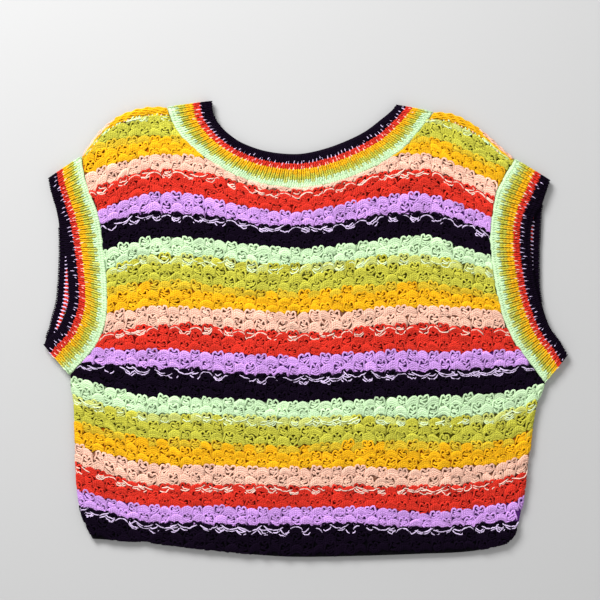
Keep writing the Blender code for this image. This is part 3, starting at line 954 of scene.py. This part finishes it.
for number, stripe in enumerate(STRIPES[:-1]):
    above = STRIPES[number - 1].yarn if number else "mint"
    thread_share = THREADED.get((above, stripe.yarn), 0)
    own = front_yarns[stripe.yarn]
    # Threads of the colour above are drawn in its lighter copy where it has one, a painted highlight
    thin = front_yarns[PAINTED_HIGHLIGHT_YARNS.get(above, above)]
    blend = front_yarns[BLENDED.get((above, stripe.yarn), stripe.yarn)]
    in_stripe = cell_stripe == number
    first = cell_row == ROW_STARTS[number]
    blended = first & (chance.random(cell_row.size) < BLENDED_SHARE)
    for yarn, some in ((own, in_stripe & ~blended), (blend, in_stripe & blended)):
        cells = np.flatnonzero(some & is_lobe)
        for lobe in LOBES:
            yarn.add(lobe_paths(cells, lobe), LOBE_RADIUS * MM, shades(cells.size), LOBE_FLATNESS)
        cells = np.flatnonzero(some & ~is_lobe)
        yarn.add(bend_paths(cells, EARS, EAR_JITTER), EAR_RADIUS * MM, shades(cells.size))
        for bends, pale_share in zip(FACE, PALE_SHARES):
            pale = first[cells] & (chance.random(cells.size) < pale_share * (thread_share > 0))
            paths = bend_paths(cells, bends, FACE_JITTER, tilt=FACE_TILT)
            yarn.add(paths, FACE_RADIUS * MM, shades(cells.size), FACE_FLATNESS)
            paths = bend_paths(cells[pale], bends, FACE_JITTER, tilt=FACE_TILT)
            paths[..., 2] += PALE_LIFT
            thin.add(paths, THREAD_RADIUS * MM, shades(pale.sum()))
    if thread_share:
        lobes = in_stripe & is_lobe & first
        hanging = chance.random(cell_row.size) < HANGING_SHARES[number > HANGING_BELOW]
        for side in (-1, 1):
            for bends, some, share in (
                (ARCH, lobes & ~hanging, thread_share), (HANGING, lobes & hanging, thread_share),
                (LOWER, lobes & hanging, thread_share * LOWER_SHARE),
            ):
                cells = np.flatnonzero(some & (chance.random(cell_row.size) < share))
                radius = chance.uniform(1 - THREAD_SPREAD, 1 + THREAD_SPREAD, (cells.size, 1))
                radius *= THREAD_RADIUS * MM
                thin.add(bend_paths(cells, bends, THREAD_JITTER, side), radius, shades(cells.size))

front_pieces = [
    strands.make("front_stitches_" + name, wool[name], "relief_knit")
    for name, strands in front_yarns.items() if strands.count
]


# Back panel: the same knit on the hidden side, flat where it rests. At the shoulders it folds up
# and over on to the top, and its last rows show as a narrow strip above each shoulder seam.

FOLD_CELLS = 8
BACK_DEEPEN = 0.85
BACK_RELIEF = 1.5 * MM
# The ground of the straps has the colour of this row, amber
STRAP_ROW = 3.5
back_plan = panel_plan(np.full_like(SHOULDER_SHARES, FOLD_OUTSIDE))[0]
back_outside, back_inside = panel_walls(back_plan, BOTTOM, np.zeros(back_plan.shape[:2]))
strap_columns = SHOULDER_CELLS + ROLL_CELLS + 1


def strap_row(strap, inset, height):
    """A row of points across a shoulder strap, with the extra columns of the side edge."""
    fold, way_in = strap
    row = fold + way_in * inset
    way_along = unit(row[1] - row[0])
    turns = np.linspace(0, TOP, ROLL_CELLS + 1)
    edge = [row[0] + way_along * wall_step(turn).out_inset for turn in turns]
    return with_height(np.vstack([edge, row[1:]]), height)


strap_steps = [wall_step(turn) for turn in np.linspace(BOTTOM, TOP, FOLD_CELLS + 1)[1:]]
strap_steps.append(wall_step(TOP)._replace(out_inset=wrap_distance(), in_inset=wrap_distance()))
back_outside = list(back_outside)
back_inside = list(back_inside)
for step in strap_steps:
    for rows, inset, height in (
        (back_outside, step.out_inset, step.out_height),
        (back_inside, step.in_inset, step.in_height),
    ):
        row = rows[-1].copy()
        row[:strap_columns] = strap_row(outline["left_shoulder"], inset, height)
        row[-strap_columns:] = strap_row(outline["right_shoulder"], inset, height)[::-1]
        rows.append(row)
back_outside = np.array(back_outside)
back_inside = np.array(back_inside)
keep = np.ones((back_outside.shape[0] - 1, back_outside.shape[1] - 1), bool)
keep[len(back_plan) - 1:, strap_columns - 1:-(strap_columns - 1)] = False
back_points, back_faces = shell(back_outside, back_inside, keep)
back_row = row_at(back_points[:, 0], back_points[:, 1])
back_row[back_points[:, 1] > row_height(1.0, back_points[:, 0])] = STRAP_ROW
back_ground = new_ground(
    "back_ground", back_points, back_faces, "row", back_row,
    knit_material("striped back", "Knit stripes", {"Hollow": 0.0, "Deepen": BACK_DEEPEN}, BACK_RELIEF),
)
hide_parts("back_panel")

STRAP_RADIUS = 1.05
STRAP_STEPS = 60
# From the fold in to the seam: the yarn near the armhole, and the yarn on from there to the neck
Lay = namedtuple("Lay", "depth outer inner change")
STRAP_LAYS = [
    Lay(0.08, "peach", "amber", 0.48), Lay(0.28, "peach", "amber", 0.42),
    Lay(0.50, "amber", "amber", 0.30), Lay(0.72, "lime", "amber", 0.40),
    Lay(0.93, "mint", "amber", 0.45),
]
# A lay wanders in depth, and rises and falls, as it runs along the shoulder
DEPTH_WAVER = Waver(0.07, 1 / 60, 2.1)
LIFT_WAVER = Waver(0.5, 1 / 47, 1.0)
LAY_LIFT = 0.3
LAY_ENDS = (0.02, 0.99)
# Short strands lie slantwise over the seam, each along this share of the shoulder
FLOAT_SHARE = 0.04
FLOAT_ENDS = (0.06, 0.96)
FLOAT_RADIUS = 0.85
FLOAT_LENGTH = 0.8
FLOAT_JITTER = 0.006
FLOAT_DEPTH = 0.98
FLOAT_DEPTH_JITTER = 0.05
FLOAT_SLANT = np.array([0.14, 0.05, -0.06, -0.16])
FLOAT_LIFT = np.array([0.8, 1.6, 1.6, 0.8])
FLOAT_SHADE = 1.12
PEACH_FLOATS = 0.45
strap_yarns = {name: Strands() for name in ("amber", "lime", "mint", "peach")}
back_heights = Heights(back_points, back_faces)


def on_strap(side, share, depth, lift):
    """Strand points at these shares along a shoulder and from its fold in to the seam."""
    fold, way_in = outline[side]
    numbers = np.arange(len(fold))
    at = share * (len(fold) - 1)
    fold_at = np.stack([np.interp(at, numbers, fold[:, axis]) for axis in (0, 1)], axis=-1)
    in_at = np.stack([np.interp(at, numbers, way_in[:, axis]) for axis in (0, 1)], axis=-1)
    wrap = np.interp(at, numbers, wrap_distance()[:, 0])
    place = fold_at + in_at * (depth * wrap)[:, None]
    return with_height(place, back_heights.top(place[:, 0], place[:, 1]) + lift * MM)[None]


def wander(waver, share, number):
    return waver.size * np.sin(share / waver.length + waver.shift * number)


for side in ("left_shoulder", "right_shoulder"):
    for number, lay in enumerate(STRAP_LAYS):
        for yarn, start, end in (
            (lay.outer, LAY_ENDS[0], lay.change), (lay.inner, lay.change, LAY_ENDS[1]),
        ):
            share = np.linspace(start, end, int(STRAP_STEPS * (end - start)) + 2)
            depth = lay.depth + wander(DEPTH_WAVER, share, number)
            lift = LAY_LIFT + wander(LIFT_WAVER, share, number)
            strap_yarns[yarn].add(on_strap(side, share, depth, lift), STRAP_RADIUS * MM, shades(1))
    for start in np.arange(*FLOAT_ENDS, FLOAT_SHARE):
        start += chance.normal(0, FLOAT_JITTER)
        share = start + np.linspace(0, FLOAT_LENGTH * FLOAT_SHARE, len(FLOAT_SLANT))
        depth = FLOAT_DEPTH + chance.normal(0, FLOAT_DEPTH_JITTER) + FLOAT_SLANT
        yarn = "peach" if chance.random() < PEACH_FLOATS else "mint"
        paths = on_strap(side, share, depth, FLOAT_LIFT)
        strap_yarns[yarn].add(paths, FLOAT_RADIUS * MM, shades(1) * FLOAT_SHADE)
strap_pieces = [
    strands.make("shoulder_strands_" + name, wool[name], "relief_knit")
    for name, strands in strap_yarns.items()
]


# Bands: 1 by 1 rib in finer wool, picked up in mint round the neck and the armholes and knitted
# outwards in rounds of olive, amber, red and black. Each is a ring pressed flat: a front half, a back
# half and two folds.

RIB_PITCH = 5.2 * MM
RIB_HEIGHT = 0.6 * MM
RIB_POINTS = 4
FREE_EDGE_SHARE = 0.1
FREE_EDGE_DROP = 0.9 * MM
BACK_STATION = 5.0 * MM
ACROSS_BAND = np.linspace(0, 1, 11)[:, None]
COURSES = ("mint", "olive", "olive", "amber", "amber", "red", "red", "black", "black", "black")
PICK_UP_SHARE = 0.16
KNIT_RADIUS = 1.06
LOOP_RADIUS = 0.6
FLECK_RADIUS = 0.5
BACK_FLECK_RADIUS = 0.9
CORD_RADIUS = 2.3
CORD_FLATNESS = 0.45
CORD_STEP = 3.0 * MM
CORD_SHARES = (0.3, 0.8)
CORD_LIFT = 0.2
CORD_END_DROP = 1.5
CORD_JITTER = Point(0.04, 0.07)
# How far inside the ends of a band, in folds, its outermost legs and its cords lie
END_LEG = 0.4
CORD_END = 0.2
BAND_SINK = 0.1 * MM
END_DROP = 0.8 * MM
# The yarn that stands in for a round's own on this share of its legs, where two colours run together
Mixed = namedtuple("Mixed", "yarn share")
MIXED_COURSES = {
    0: Mixed("lime", 0.4), 1: Mixed("lime", 0.2), 2: Mixed("gold", 0.55), 3: Mixed("gold", 0.3),
}
# How much narrower the rounds show where the back half looks out beyond the front half
BACK_ROUNDS = 0.66
# The yarn that flecks the start of a round of another colour
# The flecks are drawn in the lighter copies of peach and lilac, a painted highlight
FLECKS = {5: "pale_peach", 7: "pale_lilac"}
FLECK_SHARE = 0.95
FLECK_RIGHT_SHARE = 0.7
# Painted highlight: the flecks on the front half are drawn a tenth brighter still
FLECK_HIGHLIGHT = 1.1
# Painted light: the flecks on the back half are drawn brighter still, against the shade of the front
# half's edge over them
BACK_FLECK_LIGHT = 1.15
# How far across in ribs and outwards in rounds, and how high, a strand runs: its right half
LEG = [Bend(0.15, -0.95, 0.6), Bend(0.22, -0.1, 0.9), Bend(0.28, 0.75, 0.75)]
BACK_LEG = [Bend(0.0, -0.75, 0.1), Bend(0.14, -0.1, 0.5), Bend(0.27, 0.6, 0.2)]
FLECK = [Bend(0.04, -1.1, 0.9), Bend(0.17, -0.3, 1.25), Bend(0.30, 0.5, 0.9)]
LOOP = [Bend(0.25, -0.85, 0.75), Bend(0.25, 0.0, 1.1), Bend(0.25, 0.85, 0.95)]
LEG_JITTER = 0.02
ROUND_JITTER = 0.05
LAST_LEG_DROP = 0.6
FLECK_SHIFT = 0.3
FLECK_JITTER = 0.4
BACK_FLECK_SHIFT = Bend(0.25, -0.6, 0.8)
LOOP_JITTER = Point(0.06, 0.12)
# The back half is seen where it looks out this far beyond the front half
LOOK_OUT = 1.5 * MM
# Small steps along and out from a place, by which a band's pitch and depth are measured there
STEP_ALONG = 0.004
STEP_OUT = 0.01
BAND_FIBRES = 500
# Painted shade: the band's ground is darker where its fibre relief lies low
BAND_SHADING = Shading(0, 1, 0.6, 1.2)
# The band's ground is mixed a quarter of the way towards the painted shade between its stitches
BAND_GAP_SHADE_SHARE = 0.25
BAND_RELIEF = 0.5 * MM


def band_group():
    """Gives a band's colour from how far out across it a point lies, and the height of its wool."""
    tree, entry, leave = new_group("Band rounds", GROUND_INPUTS, GROUND_OUTPUTS)
    out = add_node(tree, "Attribute", attribute_name="out").outputs["Fac"]
    steps = [
        (PICK_UP_SHARE + (1 - PICK_UP_SHARE) * number / len(COURSES), yarn)
        for number, yarn in enumerate(COURSES)
    ]
    height = noise(tree, BAND_FIBRES, GROUND_DETAIL)
    end_ground(tree, entry, leave, out, steps, height, BAND_SHADING)


band_group()
band_material = knit_material(
    "ribbed ground", "Band rounds", {"Hollow": BAND_GAP_SHADE_SHARE, "Deepen": 1.0}, BAND_RELIEF
)


def band_places(seam, free, share, out):
    """Places in plan at these shares along a band and shares out from its seam."""
    start = seam.at(share * seam.length)
    end = free.at(share * free.length)
    return (1 - out[..., None]) * start + out[..., None] * end


def make_band(name, node, sections):
    """A band's ground, the legs of its stitches, its flecks, and the loops of its picked-up edge."""
    seam = seam_curve(sections, 1, SEAM_GAP / 2)
    front = Curve(in_metres(sections, "front_x", "front_y"))
    back = Curve(in_metres(sections, "back_x", "back_y"))
    outside = []
    inside = []
    on_back = []

    def add(free, share, turn, relief=0.0):
        """Adds the points across the band at this share along its seam and its free edge."""
        on_back.append(free is back)
        step = wall_step(turn)
        for grid, inset, height in (
            (outside, step.out_inset, step.out_height + relief),
            (inside, step.in_inset, step.in_height),
        ):
            rails = [rail.at(inset + share * (rail.length - 2 * inset)) for rail in (seam, free)]
            plan = (1 - ACROSS_BAND) * rails[0] + ACROSS_BAND * rails[1]
            grid.append(with_height(plan, height))

    ribs = round((seam.length - 2 * FOLD_OUTSIDE) / RIB_PITCH)
    edge = (ACROSS_BAND[:, 0] - 1 + FREE_EDGE_SHARE).clip(0) / FREE_EDGE_SHARE
    for point in range(RIB_POINTS * ribs + 1):
        crest = 0.5 - 0.5 * math.cos(2 * math.pi * point / RIB_POINTS)
        relief = RIB_HEIGHT * crest * (1 - edge) - FREE_EDGE_DROP * edge - BAND_SINK
        add(front, point / (RIB_POINTS * ribs), TOP, relief)
    turns = np.linspace(TOP, BOTTOM, FOLD_CELLS + 1)[1:-1]
    for turn in turns:
        add(front if turn > 0 else back, 1.0, turn)
    stations = math.ceil(seam.length / BACK_STATION)
    for station in range(stations, -1, -1):
        add(back, station / stations, BOTTOM)
    for turn in turns[::-1]:
        add(front if turn > 0 else back, 0.0, turn)
    outside = np.array(outside)
    points, faces = shell(outside, np.array(inside), ring=True)
    width = np.linalg.norm(outside[:, -1] - outside[:, 0], axis=1)
    width_in_rounds = np.median(width[:RIB_POINTS * ribs])
    stretch = np.where(on_back, (width / width_in_rounds / BACK_ROUNDS).clip(1), 1.0)
    out = 1 - (1 - ACROSS_BAND[:, 0]) * stretch[:, None]
    out = np.tile(out.clip(0).ravel(), 2)
    ground = new_ground(name + "_ground", points, faces, "out", out, band_material)
    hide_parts(node)

    yarns = {yarn: Strands() for yarn in YARNS}
    rib_share = (np.arange(ribs) + 0.5) / ribs
    margin = FOLD_OUTSIDE / seam.length
    rib_share = np.concatenate([
        [END_LEG * margin], margin + rib_share * (1 - 2 * margin), [1 - END_LEG * margin]
    ])
    ribs += 2
    height = (1 - PICK_UP_SHARE) / len(COURSES)

    def stitch_paths(free, share, out, across, up, lift, level):
        """Strand points in the cell of a stitch, at its rib and round."""
        place = band_places(seam, free, share, out)
        beyond = band_places(seam, free, share, out + STEP_OUT)
        beside = band_places(seam, free, (share + STEP_ALONG).clip(0, 1), out)
        pitch = np.linalg.norm(beside - place, axis=-1) / (STEP_ALONG * seam.length) * RIB_PITCH
        depth = np.linalg.norm(beyond - place, axis=-1) / STEP_OUT * height
        plan = (
            place[:, None]
            + unit(beside - place)[:, None] * (np.atleast_2d(across) * pitch[:, None])[..., None]
            + unit(beyond - place)[:, None] * (np.atleast_2d(up) * depth[:, None])[..., None]
        )
        return with_height(plan, level + lift[None] * MM)

    top = np.full((ribs, 1), 2 * FOLD_OUTSIDE)
    top[[0, -1]] -= END_DROP
    front_depth, back_depth = [
        np.linalg.norm(free.at(rib_share * free.length) - seam.at(rib_share * seam.length), axis=1)
        for free in (front, back)
    ]
    for number, yarn in enumerate(COURSES):
        out = PICK_UP_SHARE + (number + 0.5) * height
        out = out + chance.normal(0, ROUND_JITTER, ribs) * height
        mixed = MIXED_COURSES.get(number, Mixed(yarn, 0))
        across, up, lift = np.array(LEG).T
        if number == len(COURSES) - 1:
            lift -= LAST_LEG_DROP
        for side in (-1, 1):
            colours = np.where(chance.random(ribs) < mixed.share, mixed.yarn, yarn)
            leg_across = side * across + chance.normal(0, LEG_JITTER, (ribs, 3))
            paths = stitch_paths(front, rib_share, out, leg_across, up, lift, top)
            for colour in np.unique(colours):
                some = colours == colour
                yarns[colour].add(paths[some], KNIT_RADIUS * MM, shades(some.sum()))
        if number in FLECKS:
            flecks = yarns[FLECKS[number]]
            across, up, lift = np.array(FLECK).T
            fleck_side = np.where(chance.random(ribs) < FLECK_RIGHT_SHARE, 1, -1)
            for side in (-1, 1):
                some = (fleck_side == side) & (chance.random(ribs) < FLECK_SHARE)
                places = (rib_share[some], out[some], side * across + FLECK_SHIFT)
                fleck_up = up + chance.normal(0, FLECK_JITTER, (some.sum(), 1))
                paths = stitch_paths(front, *places, fleck_up, lift, top[some])
                flecks.add(paths, FLECK_RADIUS * MM, shades(some.sum()) * FLECK_HIGHLIGHT)
        back_out = 1 - (1 - out) * BACK_ROUNDS * front_depth / back_depth
        shown = back_out * back_depth > front_depth + LOOK_OUT
        places = (rib_share[shown], back_out[shown])
        across, up, lift = np.array(BACK_LEG).T
        for side in (-1, 1):
            paths = stitch_paths(back, *places, side * across, up, lift, WALL)
            yarns[yarn].add(paths, KNIT_RADIUS * MM, shades(shown.sum()))
        if number in FLECKS:
            # Back flecks in the lighter copy of lilac, brightened further as painted light
            bends = np.array(BACK_LEG) + BACK_FLECK_SHIFT
            paths = stitch_paths(back, *places, *bends.T, WALL)
            yarns["pale_lilac"].add(
                paths, BACK_FLECK_RADIUS * MM, shades(shown.sum()) * BACK_FLECK_LIGHT
            )

    steps = int(seam.length / CORD_STEP)
    cord_share = np.linspace(CORD_END * margin, 1 - CORD_END * margin, steps)
    for across_share in CORD_SHARES:
        cord_out = PICK_UP_SHARE * (across_share + chance.normal(0, CORD_JITTER.x, steps))
        cord_lift = CORD_LIFT + chance.normal(0, CORD_JITTER.y, steps)
        cord_lift[[0, -1]] -= CORD_END_DROP
        cord = with_height(
            band_places(seam, front, cord_share, cord_out), 2 * FOLD_OUTSIDE + cord_lift * MM
        )
        yarns["mint"].add(cord[None], CORD_RADIUS * MM, shades(1, 0.0), CORD_FLATNESS)
    # The loops of the picked-up edge, over the cords
    for side in (-1, 1):
        across, up, lift = np.array(LOOP).T
        across = side * across + chance.normal(0, LOOP_JITTER.x, (ribs, 3))
        up = up + chance.normal(0, LOOP_JITTER.y, (ribs, 3))
        out = np.full(ribs, 0.5 * PICK_UP_SHARE)
        paths = stitch_paths(front, rib_share, out, across, up, lift, top)
        yarns["mint"].add(paths, LOOP_RADIUS * MM, shades(ribs))
    pieces = [
        yarns[yarn].make(name + "_stitches_" + yarn, wool[yarn], "rib_knit")
        for yarn in YARNS if yarns[yarn].count
    ]


make_band("neckband", "neckband", NECKBAND)
make_band("armband_left", "armband_left", LEFT_ARMBAND)
make_band("armband_right", "armband_right", RIGHT_ARMBAND)


# Floor, light and camera: a plain pale floor, one broad soft light from beyond the left shoulder, a
# weak one from the hem, and the camera straight above, as the photograph was taken.

FLOOR_HALF = 3.0
FLOOR_LEVEL = -0.3 * MM
FLOOR_TONE = 0.45
FLOOR_ROUGHNESS = 0.9
floor_mesh = bpy.data.meshes.new("floor")
floor_corners = [
    (x * FLOOR_HALF, y * FLOOR_HALF, FLOOR_LEVEL) for x, y in ((-1, -1), (1, -1), (1, 1), (-1, 1))
]
floor_mesh.from_pydata(floor_corners, [], [(0, 1, 2, 3)])
floor = bpy.data.objects.new("floor", floor_mesh)
bpy.context.scene.collection.objects.link(floor)
floor_material = bpy.data.materials.new("pale floor")
floor_material.use_nodes = True
floor_inputs = floor_material.node_tree.nodes["Principled BSDF"].inputs
floor_inputs["Base Color"].default_value = (FLOOR_TONE, FLOOR_TONE, FLOOR_TONE, 1)
floor_inputs["Roughness"].default_value = FLOOR_ROUGHNESS
floor_mesh.materials.append(floor_material)

ROOM_LIGHT = 0.48
Softbox = namedtuple("Softbox", "name x y z size watts")
for box in (
    Softbox("key_light", -0.75, 1.25, 1.3, 0.9, 55),
    Softbox("fill_light", 0.5, -1.2, 1.6, 1.6, 8),
):
    lamp = bpy.data.lights.new(box.name, "AREA")
    lamp.size = box.size
    lamp.energy = box.watts
    light = bpy.data.objects.new(box.name, lamp)
    light.location = (box.x, box.y, box.z)
    light.rotation_mode = "QUATERNION"
    light.rotation_quaternion = (-light.location).to_track_quat("-Z", "Y")
    bpy.context.scene.collection.objects.link(light)
world = bpy.data.worlds.new("studio")
world.use_nodes = True
world.node_tree.nodes["Background"].inputs["Color"].default_value = (1, 1, 1, 1)
world.node_tree.nodes["Background"].inputs["Strength"].default_value = ROOM_LIGHT
bpy.context.scene.world = world

VIEW_X = -5.7 * MM
VIEW_Y = 30.4 * MM
VIEW_WIDTH = 0.624
CAMERA_HEIGHT = 2.2
SENSOR_WIDTH = 36
camera_data = bpy.data.cameras.new("camera")
camera_data.sensor_width = SENSOR_WIDTH
camera_data.lens = SENSOR_WIDTH * (CAMERA_HEIGHT - 2 * FOLD_OUTSIDE) / VIEW_WIDTH
camera = bpy.data.objects.new("camera", camera_data)
camera.location = (VIEW_X, VIEW_Y, CAMERA_HEIGHT)
bpy.context.scene.collection.objects.link(camera)
bpy.context.scene.camera = camera
bpy.context.scene.view_settings.view_transform = "Standard"
